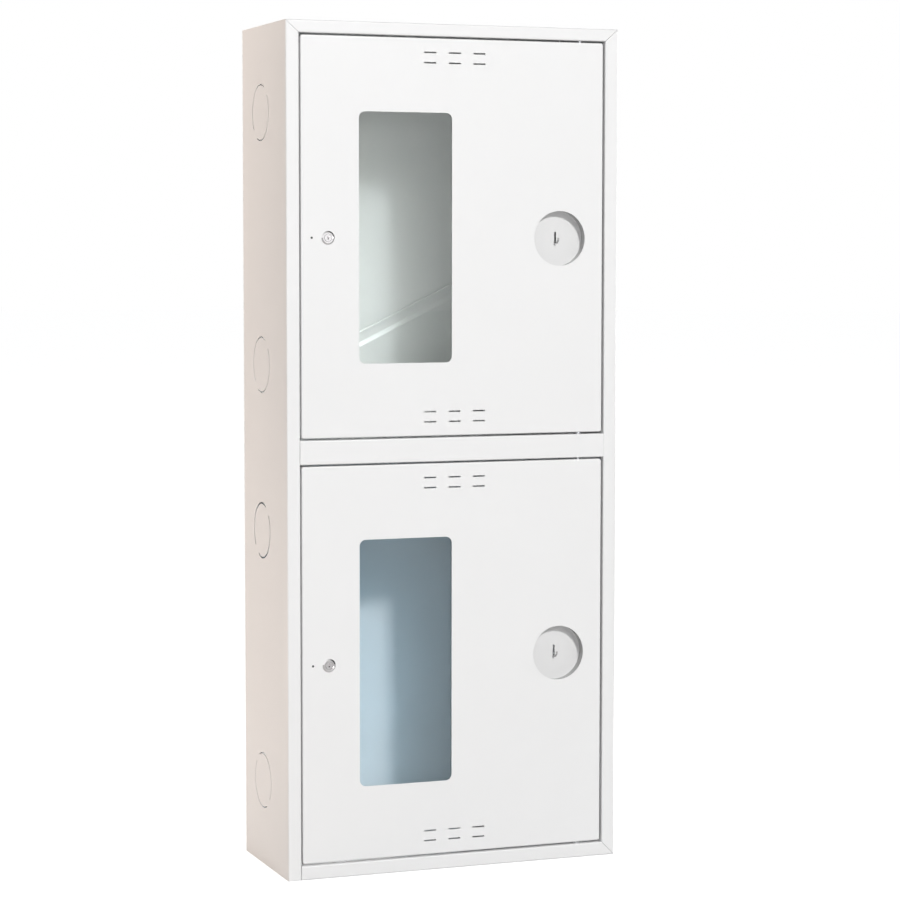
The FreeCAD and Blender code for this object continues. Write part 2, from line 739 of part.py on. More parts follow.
def rivet_places():
    x = cassette_right - hinge_flange * 0.6
    return [(x, hinge_side_low + row * hinge_side) for row in rivet_rows]


def cassette_hinge_plate():
    """Side plate whose front edge is rolled into two knuckles and whose rear flange is
    riveted behind the back plate."""
    x1 = cassette_right + cassette_plate
    rear = cassette_rear + cassette_plate
    line = [(x1, pivot_y), (x1, rear), (x1 - hinge_flange, rear)]
    plate = folded(line, lambda a, b: V(a, b, hinge_side_low), V(0, 0, hinge_side),
                   thick=cassette_plate, radius=cassette_plate_bend)
    low = hinge_side_low - 1
    for foot in knuckles + [hinge_side_high + 1]:
        plate = plate.cut(box(cassette_right - 1, x1 + 1, pivot_y - 1, pivot_y + knuckle_relief,
                              low, foot))
        low = foot + knuckle
    tubes = [rod(knuckle_radius, (pivot_x, pivot_y, foot), knuckle) for foot in knuckles]
    bore = rod(cassette_pin_radius + pin_play, (pivot_x, pivot_y, 0), height)
    holes = [rod(rivet_radius + pin_play, (x, cassette_rear - 1, z), 2 * cassette_plate, Y_AXIS)
             for x, z in rivet_places()]
    return plate.fuse(tubes).cut([bore] + holes).removeSplitter()


def cassette_rivets():
    pieces = []
    for x, z in rivet_places():
        y0, y1 = cassette_rear - sheet, cassette_rear + cassette_plate
        shank = rod(rivet_radius, (x, y0, z), y1 - y0, Y_AXIS)
        heads = [rod(rivet_head_radius, (x, y0 - rivet_head, z), rivet_head, Y_AXIS),
                 rod(rivet_head_radius, (x, y1, z), rivet_head, Y_AXIS)]
        rivet = shank.fuse(heads).removeSplitter()
        rims = [e for e in rivet.Edges if e.BoundBox.YMax < y0 - rivet_head + 0.01
                or e.BoundBox.YMin > y1 + rivet_head - 0.01]
        pieces.append(rivet.makeFillet(rivet_head * 0.6, rims))
    return Part.makeCompound(pieces)


def bracket_levels():
    """Underside of the lower bracket's plate and of the upper one's."""
    return (knuckles[0] - bracket_plate - fit_gap, knuckles[-1] + knuckle + fit_gap)


def cassette_wall_brackets():
    """Two angles welded to the right wall that hold the pivot pin, legs away from each other."""
    pieces = []
    y0, y1 = pivot_y - bracket_half, pivot_y + bracket_half
    for z, up in zip(bracket_levels(), (-1, 1)):
        skin_z = z if up > 0 else z + bracket_plate
        line = [(pivot_x, skin_z), (inner_x, skin_z), (inner_x, skin_z + up * bracket_leg)]
        angle = folded(line, lambda a, b: V(a, y0, b), V(0, y1 - y0, 0), side=up,
                       thick=bracket_plate, radius=bracket_bend)
        nose = rod(bracket_half, (pivot_x, pivot_y, z), bracket_plate)
        hole = rod(cassette_pin_radius + pin_play, (pivot_x, pivot_y, z - 1), bracket_plate + 2)
        pieces.append(angle.fuse(nose).cut(hole).removeSplitter())
    return Part.makeCompound(pieces)


def cassette_pivot_pin():
    low, high = bracket_levels()
    top = high + bracket_plate
    foot = low - cassette_pin_tail
    shank = rod(cassette_pin_radius, (pivot_x, pivot_y, foot), top - foot)
    head = rod(cassette_pin_radius + cassette_pin_head_rim, (pivot_x, pivot_y, top),
               cassette_pin_head)
    pin = soft_rims(shank.fuse(head).removeSplitter(), cassette_pin_chamfer)
    z = low - clip_ring - 2 * fit_gap
    groove = rod(cassette_pin_radius + 1, (pivot_x, pivot_y, z), clip_ring + fit_gap)
    core = rod(cassette_pin_radius - clip_ring_seat, (pivot_x, pivot_y, z - 1), clip_ring + 3)
    return pin.cut(groove.cut(core))


def cassette_pin_clip():
    """Open ring in the pin's groove, under the lower bracket."""
    low, _ = bracket_levels()
    z = low - clip_ring - fit_gap
    outer = cassette_pin_radius + clip_ring_rim
    ring = rod(outer, (pivot_x, pivot_y, z), clip_ring)
    hole = rod(cassette_pin_radius - clip_ring_seat + pin_play, (pivot_x, pivot_y, z - 1),
               clip_ring + 2)
    mouth = box(pivot_x - outer - 1, pivot_x, pivot_y - clip_ring_mouth / 2,
                pivot_y + clip_ring_mouth / 2, z - 1, z + clip_ring + 1)
    return ring.cut([hole, mouth])


# ---- all nodes ----------------------------------------------------------------------------
NODES = {
    "left_side_panel": left_side_panel,
    "right_side_panel": right_side_panel,
    "top_panel": top_panel,
    "bottom_panel": bottom_panel,
    "back_panel": back_panel,
    "mid_shelf": mid_shelf,
    "cassette_back_plate": cassette_back_plate,
    "cassette_trough": cassette_trough,
    "cassette_end_plate": cassette_end_plate,
    "cassette_hinge_plate": cassette_hinge_plate,
    "cassette_rivets": cassette_rivets,
    "cassette_wall_brackets": cassette_wall_brackets,
    "cassette_pivot_pin": cassette_pivot_pin,
    "cassette_pin_clip": cassette_pin_clip,
}
PER_DOOR = {
    "lock_strip": lock_strip,
    "hinge_pins": hinge_pins,
    "door_skin": door_skin,
    "window_gasket": window_gasket,
    "window_pane": window_pane,
    "pane_clips": pane_clips,
    "pane_studs": pane_studs,
    "pane_nuts": pane_nuts,
    "hinge_brackets": hinge_brackets,
    "key_niche": key_niche,
    "seal_plug": seal_plug,
    "lock_housing": lock_housing,
    "lock_nut": lock_nut_piece,
    "lock_plug": lock_plug,
    "lock_cam": lock_cam,
    "lock_cam_screw": lock_cam_screw,
}


def main():
    os.makedirs("parts", exist_ok=True)
    shapes = {name: make() for name, make in NODES.items()}
    for level in DOORS:
        for name, make in PER_DOOR.items():
            shapes[level + "_" + name] = make(level)
    for name, shape in shapes.items():
        if not shape.isValid():
            print("NOT VALID:", name)
        shape.exportStep(os.path.join("parts", name + ".step"))
        print(name, len(shape.Solids), "solids", round(shape.Volume), "mm3")


main()
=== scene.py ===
"""Finishes, weld seams and studio for a wall-hung standpipe cabinet.

The folded casing, the glazed doors, the locks and the hose cassette come as fixed CAD nodes.
This file gives them their powder coat, glass, rubber, zinc and chrome, adds the weld beads and
spot welds that join the sheets, and sets up the stage.
"""

import math

import bpy
import numpy as np
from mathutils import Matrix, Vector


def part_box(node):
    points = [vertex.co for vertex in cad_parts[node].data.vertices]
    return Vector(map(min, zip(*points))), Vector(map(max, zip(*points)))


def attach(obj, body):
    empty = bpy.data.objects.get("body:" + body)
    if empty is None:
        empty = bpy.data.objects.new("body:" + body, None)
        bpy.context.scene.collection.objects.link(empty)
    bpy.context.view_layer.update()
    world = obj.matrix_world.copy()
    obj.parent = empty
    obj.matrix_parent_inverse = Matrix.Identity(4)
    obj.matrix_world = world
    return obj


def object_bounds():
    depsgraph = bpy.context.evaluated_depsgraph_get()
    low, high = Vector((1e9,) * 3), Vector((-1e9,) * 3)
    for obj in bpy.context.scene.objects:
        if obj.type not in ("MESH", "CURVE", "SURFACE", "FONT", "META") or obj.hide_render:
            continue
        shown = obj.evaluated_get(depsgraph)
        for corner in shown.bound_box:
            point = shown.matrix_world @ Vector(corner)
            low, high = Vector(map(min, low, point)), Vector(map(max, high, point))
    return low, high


bl_info = {
    "name": "Standpipe Cabinet",
    "version": (1, 0, 0),
    "blender": (4, 5, 0),
    "location": "View3D > Sidebar > Cabinet",
    "description": "Finishes, weld seams and studio for a glazed two-door standpipe cabinet",
    "category": "Object",
}

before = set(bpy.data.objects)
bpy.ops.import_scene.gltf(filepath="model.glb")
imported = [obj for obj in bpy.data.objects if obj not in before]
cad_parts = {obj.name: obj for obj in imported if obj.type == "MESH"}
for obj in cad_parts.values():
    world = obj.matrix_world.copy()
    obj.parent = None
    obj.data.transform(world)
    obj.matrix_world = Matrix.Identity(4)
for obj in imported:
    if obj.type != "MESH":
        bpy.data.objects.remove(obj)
CAD_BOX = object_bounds()

DOORS = ("upper", "lower")
SHEET = float(np.ptp([corner[1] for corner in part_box("back_panel")]))

COATED = [
    "left_side_panel", "right_side_panel", "top_panel", "bottom_panel", "back_panel",
    "mid_shelf", "cassette_wall_brackets", "cassette_back_plate", "cassette_trough",
    "cassette_end_plate", "cassette_hinge_plate",
] + [door + part for door in DOORS
     for part in ("_door_skin", "_hinge_brackets", "_lock_strip")]
ZINC_PLATED = ["cassette_pivot_pin", "cassette_pin_clip", "cassette_rivets"] + [
    door + part for door in DOORS
    for part in ("_hinge_pins", "_pane_clips", "_pane_studs", "_pane_nuts", "_lock_nut",
                 "_lock_cam", "_lock_cam_screw")]
CHROMED = [door + part for door in DOORS for part in ("_lock_housing", "_lock_plug")]
RUBBER = [door + part for door in DOORS for part in ("_window_gasket", "_seal_plug")]


# ---- settings ---------------------------------------------------------------------------------
class CoatSettings(bpy.types.PropertyGroup):
    """Powder coat of the folded sheets"""
    colour: bpy.props.FloatVectorProperty(
        name="Colour", description="White of the powder coat", size=3, subtype="COLOR",
        min=0.0, max=1.0, default=(0.88, 0.88, 0.883))
    roughness: bpy.props.FloatProperty(
        name="Roughness", description="Roughness of the semi-gloss coat", subtype="FACTOR",
        min=0.0, max=1.0, default=0.34)
    peel_size: bpy.props.FloatProperty(
        name="Peel size", description="Width of one ripple of the orange peel",
        subtype="DISTANCE", unit="LENGTH", min=0.0002, default=0.0022)
    peel_depth: bpy.props.FloatProperty(
        name="Peel depth", description="Height of the orange peel", subtype="DISTANCE",
        unit="LENGTH", min=0.0, default=0.00003)
    # Painted shade in a drawn niche: the floor keeps this share of full white, and its wall a
    # lower share.
    floor_painted_brightness: bpy.props.FloatProperty(
        name="Floor cover", description="Share of full white on the floor of a drawn niche",
        subtype="FACTOR", min=0.0, max=1.0, default=0.9)
    wall_painted_brightness: bpy.props.FloatProperty(
        name="Wall cover", description="Share of full white on the wall of a drawn niche",
        subtype="FACTOR", min=0.0, max=1.0, default=0.5)


class MetalSettings(bpy.types.PropertyGroup):
    """Plating of pins, clips, locks and rivets"""
    zinc: bpy.props.FloatVectorProperty(
        name="Zinc", description="Colour of the zinc plating", size=3, subtype="COLOR",
        min=0.0, max=1.0, default=(0.62, 0.63, 0.65))
    chrome: bpy.props.FloatVectorProperty(
        name="Chrome", description="Colour of the chrome plating", size=3, subtype="COLOR",
        min=0.0, max=1.0, default=(0.93, 0.91, 0.92))


class GlazingSettings(bpy.types.PropertyGroup):
    """Panes and the rubber round them"""
    upper_tint: bpy.props.FloatVectorProperty(
        name="Upper tint", description="Colour of light that has passed the upper pane", size=3,
        subtype="COLOR", min=0.0, max=1.0, default=(0.955, 0.99, 0.96))
    upper_sunlit: bpy.props.FloatVectorProperty(
        name="Upper lamp tint", description="Colour of direct lamplight behind the upper pane",
        size=3, subtype="COLOR", min=0.0, max=1.0, default=(0.285, 0.31, 0.325))
    lower_tint: bpy.props.FloatVectorProperty(
        name="Lower tint", description="Colour of light that has passed the lower pane", size=3,
        subtype="COLOR", min=0.0, max=1.0, default=(0.545, 0.69, 0.77))
    lower_sunlit: bpy.props.FloatVectorProperty(
        name="Lower lamp tint", description="Colour of direct lamplight behind the lower pane",
        size=3, subtype="COLOR", min=0.0, max=1.0, default=(0.99, 0.87, 0.82))
    rubber: bpy.props.FloatVectorProperty(
        name="Rubber", description="Colour of the channel round a pane", size=3,
        subtype="COLOR", min=0.0, max=1.0, default=(0.035, 0.036, 0.038))


class WeldSettings(bpy.types.PropertyGroup):
    """Weld beads and spot welds"""
    leg: bpy.props.FloatProperty(
        name="Leg", description="Leg of a full weld bead", subtype="DISTANCE", unit="LENGTH",
        min=0.0005, default=0.0026)
    length: bpy.props.FloatProperty(
        name="Length", description="Length of one tack", subtype="DISTANCE", unit="LENGTH",
        min=0.003, default=0.018)
    ripple: bpy.props.FloatProperty(
        name="Ripple", description="Distance between the ripples of a bead",
        subtype="DISTANCE", unit="LENGTH", min=0.0003, default=0.0013)
    spot: bpy.props.FloatProperty(
        name="Spot", description="Diameter of a spot weld's crown", subtype="DISTANCE",
        unit="LENGTH", min=0.001, default=0.005)


class StageSettings(bpy.types.PropertyGroup):
    """Lamps and camera"""
    key_power: bpy.props.FloatProperty(
        name="Key", description="Power of the lamp in front", subtype="POWER", unit="POWER",
        min=0.0, default=482.0)
    front_power: bpy.props.FloatProperty(
        name="Front fill", description="Power of the lamp beside the camera",
        subtype="POWER", unit="POWER", min=0.0, default=20.0)
    gloss_power: bpy.props.FloatProperty(
        name="Gloss", description="Power of the lamp that only glossy faces show",
        subtype="POWER", unit="POWER", min=0.0, default=30.0)
    side_power: bpy.props.FloatProperty(
        name="Left fill", description="Power of the warm lamps at the left", subtype="POWER",
        unit="POWER", min=0.0, default=12.5)
    right_power: bpy.props.FloatProperty(
        name="Right fill", description="Power of the lamp at the right", subtype="POWER",
        unit="POWER", min=0.0, default=14.0)
    ambient: bpy.props.FloatProperty(
        name="Ambient", description="Strength of the light from all round", min=0.0,
        default=0.285)
    lens: bpy.props.FloatProperty(
        name="Lens", description="Focal length of the camera", subtype="DISTANCE_CAMERA",
        unit="CAMERA", min=10.0, default=107.52)
    stand: bpy.props.FloatVectorProperty(
        name="Camera stand", description="Place of the camera", size=3,
        subtype="TRANSLATION", unit="LENGTH", default=(-1.4611, -3.9694, 0.956))
    heading: bpy.props.FloatVectorProperty(
        name="Camera heading", description="Pitch, roll and yaw of the camera", size=3,
        subtype="EULER", unit="ROTATION",
        default=(math.radians(85.772), math.radians(-0.04), math.radians(-20.648)))


# ---- shader helpers ---------------------------------------------------------------------------
class Nodes:
    """A node tree, and short ways to add to it."""

    def __init__(self, tree):
        self.tree = tree

    def node(self, kind, **inputs):
        made = self.tree.nodes.new("ShaderNode" + kind)
        for name, value in inputs.items():
            self.feed(made.inputs[name.replace("_", " ")], value)
        return made

    def feed(self, socket, value):
        if isinstance(value, bpy.types.NodeSocket):
            self.tree.links.new(value, socket)
        else:
            socket.default_value = value

    def reckoned(self, operation, first, second):
        made = self.node("Math")
        made.operation = operation
        self.feed(made.inputs[0], first)
        self.feed(made.inputs[1], second)
        return made.outputs[0]

    def ranged(self, value, low, high, start=0.3, end=0.7):
        """Low where the value is at start, high where it is at end, and held beyond them."""
        made = self.node("MapRange", Value=value, From_Min=start, From_Max=end, To_Min=low,
                         To_Max=high)
        return made.outputs["Result"]

    def chosen(self, factor, first, second):
        """The first shader where the factor is 0 and the second where it is 1."""
        made = self.node("MixShader", Fac=factor)
        self.feed(made.inputs[1], first.outputs[0])
        self.feed(made.inputs[2], second.outputs[0])
        return made.outputs["Shader"]


class Shader(Nodes):
    """A new material with its Principled shader, and short ways to add patterns to it."""

    def __init__(self, name, colour, **sockets):
        self.material = bpy.data.materials.new(name)
        self.material.use_nodes = True
        self.material.diffuse_color = (*colour, 1)
        super().__init__(self.material.node_tree)
        self.surface = next(n for n in self.tree.nodes if n.type == "BSDF_PRINCIPLED")
        self.output = next(n for n in self.tree.nodes if n.type == "OUTPUT_MATERIAL")
        self.surface.inputs["Base Color"].default_value = (*colour, 1)
        for socket, value in sockets.items():
            self.surface.inputs[socket.replace("_", " ")].default_value = value
        self.place = self.node("TexCoord").outputs["Object"]

    def set(self, name, value):
        self.feed(self.surface.inputs[name], value)

    def stretched(self, scale):
        return self.node("Mapping", Vector=self.place, Scale=scale).outputs["Vector"]

    def noise(self, size, detail=2.0, roughness=0.5, vector=None):
        """Noise with features about size metres wide."""
        made = self.node("TexNoise", Vector=vector or self.place, Scale=1.0 / size,
                         Detail=detail, Roughness=roughness)
        return made.outputs["Fac"]

    def blended(self, factor, first, second):
        made = self.tree.nodes.new("ShaderNodeMix")
        made.data_type = "RGBA"
        self.feed(made.inputs[0], factor)
        for socket, value in ((made.inputs[6], first), (made.inputs[7], second)):
            self.feed(socket, value if isinstance(value, bpy.types.NodeSocket) else (*value, 1))
        return made.outputs[2]

    def bump(self, height, depth, normal=None):
        made = self.node("Bump", Height=height, Distance=depth, Strength=1.0)
        if normal is not None:
            self.feed(made.inputs["Normal"], normal)
        return made.outputs["Normal"]


def toned(colour, by):
    return tuple(min(1.0, channel * by) for channel in colour)


BLACK, WHITE = (0.0, 0.0, 0.0), (1.0, 1.0, 1.0)
WAVE_DEPTH = 0.00006        # slow waves of the sheet under its coat, in metres
SCRATCH_DEPTH = 0.00002     # brush and polishing marks on plated metal
GRAIN_DEPTH = 0.00004       # skin of the rubber, and the waves of float glass
CLEAR_LAYER = {"Coat Weight": 0.12, "Coat Roughness": 0.22}


def powder_coat(name, settings, drawn_to=None):
    """Semi-gloss white: fine orange peel over long faint waves, and a slightly uneven gloss.
    On a pressing drawn back to the plane Y = drawn_to, shade is painted into the colour:
    the floor is a little greyer, and the wall that leads to it much darker."""
    coat = Shader(name, settings.colour)
    colour = coat.blended(coat.noise(0.16, detail=3.0), toned(settings.colour, 0.985),
                          toned(settings.colour, 1.012))
    if drawn_to is not None:
        # Painted shade: the colour darkens from the niche's floor towards its wall.
        depth = coat.node("SeparateXYZ", Vector=coat.place).outputs["Y"]
        painted_shade = coat.ranged(depth, settings.wall_painted_brightness, settings.floor_painted_brightness,
                            drawn_to - SHEET, drawn_to)
        colour = coat.blended(painted_shade, BLACK, colour)
    coat.set("Base Color", colour)
    peel = coat.bump(coat.noise(settings.peel_size, detail=1.5), settings.peel_depth)
    coat.set("Normal", coat.bump(coat.noise(0.045, detail=1.0), WAVE_DEPTH, normal=peel))
    coat.set("Roughness", coat.ranged(coat.noise(0.012, detail=3.0), settings.roughness - 0.03,
                                      settings.roughness + 0.05))
    for socket, value in CLEAR_LAYER.items():
        coat.set(socket, value)
    return coat.material


def zinc_plate(settings):
    """Bright zinc: brushed along X under a mottled passivated film."""
    zinc = Shader("zinc_plated_steel", settings.zinc, Metallic=1.0)
    film = zinc.noise(0.004, detail=4.0, roughness=0.6)
    zinc.set("Base Color", zinc.blended(film, toned(settings.zinc, 0.86),
                                        toned(settings.zinc, 1.12)))
    brushed = zinc.noise(0.0006, detail=2.0, vector=zinc.stretched((0.08, 1.0, 1.0)))
    zinc.set("Roughness", zinc.ranged(brushed, 0.26, 0.44))
    zinc.set("Normal", zinc.bump(brushed, SCRATCH_DEPTH))
    return zinc.material


def chrome_plate(settings):
    """Bright chrome over a cast body: nearly smooth, with faint polishing marks."""
    chrome = Shader("chrome", settings.chrome, Metallic=1.0)
    marks = chrome.noise(0.0009, detail=3.0)
    chrome.set("Roughness", chrome.ranged(marks, 0.05, 0.12))
    chrome.set("Normal", chrome.bump(chrome.noise(0.002, detail=2.0), SCRATCH_DEPTH))
    chrome.set("Base Color", chrome.blended(chrome.noise(0.003), toned(settings.chrome, 0.9),
                                            toned(settings.chrome, 1.08)))
    return chrome.material


def channel_rubber(settings):
    """Matt extruded rubber with a dusty bloom."""
    rubber = Shader("black_rubber", settings.rubber)
    bloom = rubber.noise(0.006, detail=4.0, roughness=0.65)
    rubber.set("Base Color", rubber.blended(bloom, settings.rubber, toned(settings.rubber, 1.8)))
    rubber.set("Roughness", rubber.ranged(bloom, 0.6, 0.78))
    grain = rubber.noise(0.0005, detail=2.0)
    rubber.set("Normal", rubber.bump(grain, GRAIN_DEPTH))
    return rubber.material


def window_glass(name, tint, sunlit):
    """Float glass, tinted in its depth. Lamplight passes it with a colour of its own, shared
    evenly between the two faces, so that it reaches what stands behind the pane."""
    glass = Shader(name, tint, Transmission_Weight=1.0, IOR=1.5)
    glass.set("Roughness", glass.ranged(glass.noise(0.03, detail=4.0), 0.0, 0.025, start=0.45,
                                        end=0.75))
    glass.set("Normal", glass.bump(glass.noise(0.09, detail=1.0), GRAIN_DEPTH))
    one_face = tuple(math.sqrt(channel) for channel in sunlit)
    through = glass.node("BsdfTransparent", Color=(*one_face, 1))
    shadow = glass.node("LightPath").outputs["Is Shadow Ray"]
    glass.feed(glass.output.inputs["Surface"], glass.chosen(shadow, glass.surface, through))
    return glass.material


def finish_nodes(names, material):
    for name in names:
        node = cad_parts[name]
        node.data.materials.clear()
        node.data.materials.append(material)


# ---- weld beads -------------------------------------------------------------------------------
ARC_POINTS = 9              # points across a bead, face to face
WAVER, RIPPLE = 0.07, 0.06  # shares of a bead's radius
FILL = 0.9                  # radius of a bead as a share of its leg
UNEVEN = 0.12               # how far the lengths of tacks differ, as a share
RINGS = 46                  # rings along a bead
CROWN_POINTS = 24           # points round a spot weld
CROWN_RADII = (1.0, 0.94, 0.86, 0.76, 0.66, 0.5, 0.3)       # shares of its radius
CROWN_HEIGHTS = (-0.2, 0.45, 0.9, 1.0, 0.6, 0.35, 0.3)      # shares of its rim's height
RIM_HEIGHT = 0.05           # rim's height as a share of the diameter


class Beads:
    """Collects closed weld beads as grids of rings and makes them one mesh."""

    def __init__(self, name, body, settings, seed):
        self.name, self.body, self.settings = name, body, settings
        self.random = np.random.default_rng(seed)
        self.points, self.faces, self.count = [], [], 0

    def corner(self, middle, along, side_a, side_b, leg=1.0, length=1.0):
        """A bead in the corner between two faces. Every ring is the corner point and a
        quarter circle from one face to the other; its radius follows a flat-topped hump along
        the bead, wavers slowly, and carries the ripples left by each drop of metal. Both ends
        close in one point."""
        leg = leg * self.settings.leg
        length = length * self.settings.length * self.random.uniform(1 - UNEVEN, 1 + UNEVEN)
        u = np.linspace(-1.0, 1.0, RINGS + 2)[1:-1]
        hump = (1.0 - np.abs(u) ** 5) ** 0.5
        waver = 1.0 + WAVER * np.sin(u * 5.0 + self.random.uniform(0, 2 * math.pi))
        drops = np.abs(np.sin(math.pi * u * length / 2 / self.settings.ripple))
        radius = leg * hump * waver * (1.0 + RIPPLE * drops) * FILL
        angle = np.linspace(0.0, math.pi / 2, ARC_POINTS)
        middle, along, side_a, side_b = (np.array(v, float)
                                         for v in (middle, along, side_a, side_b))
        spine = middle + np.outer(u * length / 2, along)
        arc = np.outer(np.cos(angle), side_a) + np.outer(np.sin(angle), side_b)
        rings = np.concatenate([spine[:, None, :],
                                spine[:, None, :] + radius[:, None, None] * arc[None]], axis=1)
        tips = middle + np.outer([-length / 2, length / 2], along)
        turning = np.dot(np.cross(side_a, side_b), along) > 0
        self.add(rings, tips, turning)

    def crown(self, centre, axis, diameter):
        """A spot weld: a flat squeezed dimple with a soft raised rim. Its profile, a radius
        and a height for every ring, is turned about the axis."""
        axis = np.array(axis, float)
        side = np.cross(axis, (0.0, 0.0, 1.0))
        up = np.cross(side, axis)
        turn = np.linspace(0.0, 2 * math.pi, CROWN_POINTS, endpoint=False)
        circle = np.outer(np.cos(turn), side) + np.outer(np.sin(turn), up)
        share = np.array(CROWN_RADII)
        height = diameter * RIM_HEIGHT * np.array(CROWN_HEIGHTS)
        rings = (np.array(centre, float) + share[:, None, None] * diameter / 2 * circle[None]
                 + height[:, None, None] * axis)
        tips = np.array(centre, float) + np.outer([height[0], height[-1]], axis)
        self.add(rings, tips, False)

    def add(self, rings, tips, turning):
        """Joins rings to quads and closes both ends with a fan to its tip."""
        count, around = rings.shape[:2]
        base = self.count
        grid = base + np.arange(count * around).reshape(count, around)
        beside = np.roll(grid, -1, axis=1)
        quads = np.stack([grid[:-1], beside[:-1], beside[1:], grid[1:]], axis=-1).reshape(-1, 4)
        first = base + count * around
        start = np.stack([np.full(around, first), beside[0], grid[0]], axis=-1)
        end = np.stack([np.full(around, first + 1), grid[-1], beside[-1]], axis=-1)
        if not turning:
            quads, start, end = quads[:, ::-1], start[:, ::-1], end[:, ::-1]
        self.points += [rings.reshape(-1, 3), tips]
        self.faces += quads.tolist() + start.tolist() + end.tolist()
        self.count += count * around + 2

    def finish(self, material):
        mesh = bpy.data.meshes.new(self.name)
        mesh.from_pydata(np.concatenate(self.points).tolist(), [], self.faces)
        mesh.validate()
        mesh.shade_smooth()
        mesh.materials.append(material)
        piece = bpy.data.objects.new(self.name, mesh)
        bpy.context.scene.collection.objects.link(piece)
        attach(piece, self.body)


def spread(low, high, count):
    """Places evenly inside a stretch, half a step from its ends."""
    return low + (high - low) * (np.arange(count) + 0.5) / count


X, Y, Z = np.eye(3)

END_TACKS, WALL_TACKS, STRIP_TACKS = 3, 9, 6        # per seam of the casing
SIDE_TACKS, PLATE_TACKS = 3, 7                      # per seam of the cassette
NICHE_SPOTS = 8
FRONT_MARGIN = 0.03         # the casing's side seams start this far behind its front
TROUGH_LEG = 0.015          # height of the trough's rear leg, which stands on the plate
END_SEAM_DROP = 0.03        # from the trough's top to its last tack


def material_named(name):
    found = bpy.data.materials.get(name)
    if found is None:
        raise RuntimeError(f"{name} is missing: the finishes come first")
    return found


# ---- pieces -----------------------------------------------------------------------------------
class CABINET_OT_coat_sheets(bpy.types.Operator):
    """Powder coats casing, shelf, doors, niches and cassette"""
    bl_idname = "cabinet.coat_sheets"
    bl_label = "Coat Sheets"

    def execute(self, context):
        settings = context.scene.cabinet_coat
        finish_nodes(COATED, powder_coat("white_powder_coat", settings))
        for door in DOORS:
            niche = door + "_key_niche"
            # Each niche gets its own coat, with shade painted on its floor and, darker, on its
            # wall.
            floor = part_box(niche)[1][1] - SHEET
            finish_nodes([niche], powder_coat(niche + "_coat", settings, drawn_to=floor))
        return {"FINISHED"}


class CABINET_OT_plate_hardware(bpy.types.Operator):
    """Zinc plates pins, clips, nuts, cams and rivets"""
    bl_idname = "cabinet.plate_hardware"
    bl_label = "Plate Hardware"

    def execute(self, context):
        finish_nodes(ZINC_PLATED, zinc_plate(context.scene.cabinet_metal))
        return {"FINISHED"}


class CABINET_OT_chrome_locks(bpy.types.Operator):
    """Chromes the lock housings and plugs"""
    bl_idname = "cabinet.chrome_locks"
    bl_label = "Chrome Locks"

    def execute(self, context):
        finish_nodes(CHROMED, chrome_plate(context.scene.cabinet_metal))
        return {"FINISHED"}


class CABINET_OT_glaze_doors(bpy.types.Operator):
    """Glazes both doors, pane and rubber channel, and gives their seal plugs a rubber finish"""
    bl_idname = "cabinet.glaze_doors"
    bl_label = "Glaze Doors"

    def execute(self, context):
        glazing = context.scene.cabinet_glazing
        for door in DOORS:
            glass = window_glass(door + "_window_glass", getattr(glazing, door + "_tint"),
                                 getattr(glazing, door + "_sunlit"))
            finish_nodes([door + "_window_pane"], glass)
        finish_nodes(RUBBER, channel_rubber(glazing))
        return {"FINISHED"}


class CABINET_OT_weld_casing(bpy.types.Operator):
    """Welds shelf, end panels, back panel, lock strips and cassette brackets to the sides"""
    bl_idname = "cabinet.weld_casing"
    bl_label = "Weld Casing"

    def execute(self, context):
        settings = context.scene.cabinet_weld
        coat = material_named("white_powder_coat")
        low, high = np.array(CAD_BOX[0]), np.array(CAD_BOX[1])
        inner_low, inner_high = low + SHEET, high - SHEET
        front = low[1] + FRONT_MARGIN
        back_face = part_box("back_panel")[0][1]
        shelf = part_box("mid_shelf")[1][2]

        seams = Beads("casing_weld_beads", "cabinet", settings, 11)
        for wall, inward in ((inner_low[0], X), (inner_high[0], -X)):
            for y in spread(front, back_face, END_TACKS):
                seams.corner((wall, y, inner_low[2]), Y, inward, Z)
                seams.corner((wall, y, inner_high[2]), Y, inward, -Z)
                seams.corner((wall, y, shelf), Y, inward, Z)
            for z in spread(inner_low[2], inner_high[2], WALL_TACKS):
                seams.corner((wall, back_face, z), Z, inward, -Y)
        seams.finish(coat)

        strips = Beads("strip_weld_beads", "cabinet", settings, 12)
        for door in DOORS:
            foot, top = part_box(door + "_lock_strip")
            for z in spread(foot[2], top[2], STRIP_TACKS):
                strips.corner((inner_low[0], top[1], z), Z, X, Y, leg=0.55)
        strips.finish(coat)

        brackets = Beads("bracket_weld_beads", "cabinet", settings, 13)
        foot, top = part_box("cassette_wall_brackets")
        leg = (top[1] - foot[1]) * 1.5          # a bracket's leg is 1.5 times as long as wide
        for end, step in ((foot[2], 1), (top[2], -1)):
            for y, out in ((foot[1], -Y), (top[1], Y)):
                brackets.corner((inner_high[0], y, end + step * leg * 0.42), Z, -X, out)
        brackets.finish(coat)
        return {"FINISHED"}


